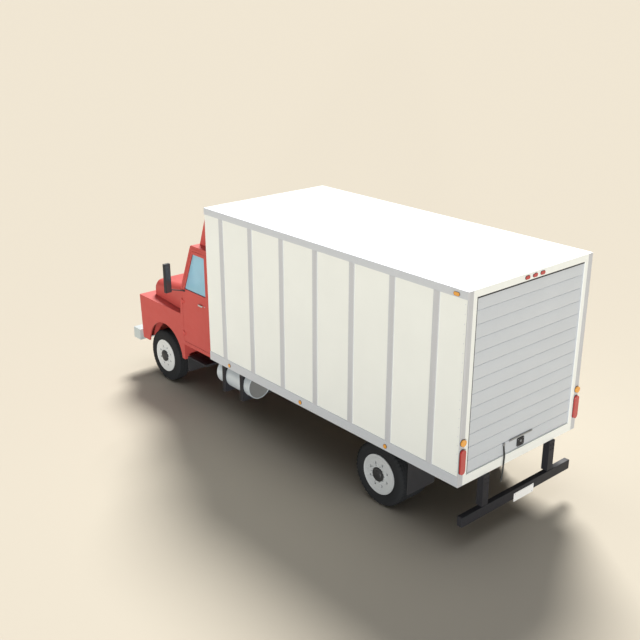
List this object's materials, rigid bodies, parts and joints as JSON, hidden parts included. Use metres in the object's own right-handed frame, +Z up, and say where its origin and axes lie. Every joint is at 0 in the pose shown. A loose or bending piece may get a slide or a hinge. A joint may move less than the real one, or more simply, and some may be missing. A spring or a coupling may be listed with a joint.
{
  "type": "box truck",
  "caption": "Conventional-cab box truck with a ribbed steel cargo box, roll-up rear door, twin rear wheels, steerable front wheels, opening doors and bonnet.",
  "frame": {"origin": "on the ground under the middle of the truck, halfway along its length", "axes": "+X forward, +Y to the truck's left, +Z up"},
  "size_m": [7.981, 2.76, 3.496],
  "materials": {
    "chassis_paint": "satin dark grey chassis paint",
    "engine_iron": "painted cast iron",
    "exhaust_steel": "dull aluminised steel",
    "spring_steel": "dark spring steel",
    "tank_metal": "satin silver tank",
    "black_paint": "satin black paint",
    "flap_rubber": "black rubber sheet",
    "bumper_chrome": "bright bumper",
    "plate_white": "blank white plate",
    "red_paint": "satin red paint",
    "grille_silver": "satin silver bars",
    "clear_lens": "clear lamp lens",
    "glass": "light blue safety glass",
    "dash_plastic": "dark grained plastic",
    "seat_vinyl": "dark grey vinyl",
    "floor_wood": "oiled hardwood planks on steel sills",
    "white_panel": "warm white enamel",
    "roof_white": "plain white roof sheet",
    "rail_silver": "satin silver extrusion",
    "frame_white": "white enamel",
    "door_grey": "light grey roll-up slats",
    "hardware_steel": "zinc plated steel",
    "strap_webbing": "black woven webbing",
    "red_lens": "red lamp lens",
    "amber_lens": "amber lamp lens",
    "black_plastic": "black moulded plastic",
    "rim_paint": "light grey wheel enamel",
    "tyre": "black tyre rubber"
  },
  "bodies": {
    "chassis": {"frame_rails": "chassis_paint", "cross_members": "chassis_paint", "engine": "engine_iron", "drive_shaft": "chassis_paint", "exhaust": "exhaust_steel", "front_axle": "chassis_paint", "rear_axle": "chassis_paint", "leaf_springs": "spring_steel", "fuel_tank": "tank_metal", "tank_brackets": "black_paint", "cab_steps": "black_paint", "mudflaps": "flap_rubber", "front_bumper": "bumper_chrome", "rear_bumper": "black_paint", "licence_plate": "plate_white", "wing_left": "red_paint", "wing_right": "red_paint", "nose_panel": "red_paint", "grille": "grille_silver", "headlights": "clear_lens", "cab_shell": "red_paint", "cab_roof": "red_paint", "cab_glass": "glass", "dashboard": "dash_plastic", "bench_seat": "seat_vinyl", "roof_deflector": "red_paint", "box_floor": "floor_wood", "box_side_walls": "white_panel", "box_front_wall": "white_panel", "box_roof": "roof_white", "box_rails": "rail_silver", "box_posts": "rail_silver", "rear_frame": "frame_white", "rear_door": "door_grey", "door_hardware": "hardware_steel", "latch_plate": "black_paint", "pull_strap": "strap_webbing", "red_lamps": "red_lens", "amber_lamps": "amber_lens"},
    "bonnet": {"bonnet": "red_paint"},
    "door_left": {"door_left": "red_paint", "door_glass_left": "glass", "mirror_left": "black_plastic"},
    "door_right": {"door_right": "red_paint", "door_glass_right": "glass", "mirror_right": "black_plastic"},
    "steering_wheel": {"steering_wheel": "black_plastic"},
    "knuckle_left": {"knuckle_left": "chassis_paint"},
    "knuckle_right": {"knuckle_right": "chassis_paint"},
    "tie_rod": {"tie_rod": "chassis_paint"},
    "wheel_front_left": {"rim_front_left": "rim_paint", "tyre_front_left": "tyre"},
    "wheel_front_right": {"rim_front_right": "rim_paint", "tyre_front_right": "tyre"},
    "wheels_rear_left": {"rims_rear_left": "rim_paint", "tyres_rear_left": "tyre"},
    "wheels_rear_right": {"rims_rear_right": "rim_paint", "tyres_rear_right": "tyre"}
  },
  "joints": [
    {"name": "steer_left", "type": "hinge", "parent": "chassis", "child": "knuckle_left", "pos_m": [3.0265, 0.855, 0.465], "axis": [0, 0, 1], "range_deg": [-35, 35]},
    {"name": "steer_right", "type": "hinge", "parent": "chassis", "child": "knuckle_right", "pos_m": [3.0265, -0.855, 0.465], "axis": [0, 0, 1], "range_deg": [-35, 35]},
    {"name": "tie_rod_pivot", "type": "hinge", "parent": "knuckle_left", "child": "tie_rod", "pos_m": [2.8465, 0.855, 0.358], "axis": [0, 0, 1], "range_deg": [-35, 35]},
    {"name": "steering_wheel_turn", "type": "hinge", "parent": "chassis", "child": "steering_wheel", "pos_m": [1.9205, 0.5, 1.64], "axis": [-0.6428, 0, 0.766], "range_deg": [-630, 630]},
    {"name": "roll_front_left", "type": "hinge", "parent": "knuckle_left", "child": "wheel_front_left", "pos_m": [3.0265, 0.9725, 0.465], "axis": [0, 1, 0], "continuous": true},
    {"name": "roll_front_right", "type": "hinge", "parent": "knuckle_right", "child": "wheel_front_right", "pos_m": [3.0265, -0.9725, 0.465], "axis": [0, 1, 0], "continuous": true},
    {"name": "roll_rear_left", "type": "hinge", "parent": "chassis", "child": "wheels_rear_left", "pos_m": [-2.4805, 1.0025, 0.465], "axis": [0, 1, 0], "continuous": true},
    {"name": "roll_rear_right", "type": "hinge", "parent": "chassis", "child": "wheels_rear_right", "pos_m": [-2.4805, -1.0025, 0.465], "axis": [0, 1, 0], "continuous": true},
    {"name": "door_left_hinge", "type": "hinge", "parent": "chassis", "child": "door_left", "pos_m": [2.3165, 1.126, 1.4], "axis": [0, 0, -1], "range_deg": [0, 60]},
    {"name": "door_right_hinge", "type": "hinge", "parent": "chassis", "child": "door_right", "pos_m": [2.3165, -1.126, 1.4], "axis": [0, 0, 1], "range_deg": [0, 60]},
    {"name": "bonnet_hinge", "type": "hinge", "parent": "chassis", "child": "bonnet", "pos_m": [2.4005, 0, 1.914], "axis": [0, -1, 0], "range_deg": [0, 50]}
  ],
  "couplings": [
    {"joint": "steer_right", "follows": "steer_left", "ratio": 1},
    {"joint": "tie_rod_pivot", "follows": "steer_left", "ratio": -1},
    {"joint": "steering_wheel_turn", "follows": "steer_left", "ratio": 18}
  ]
}
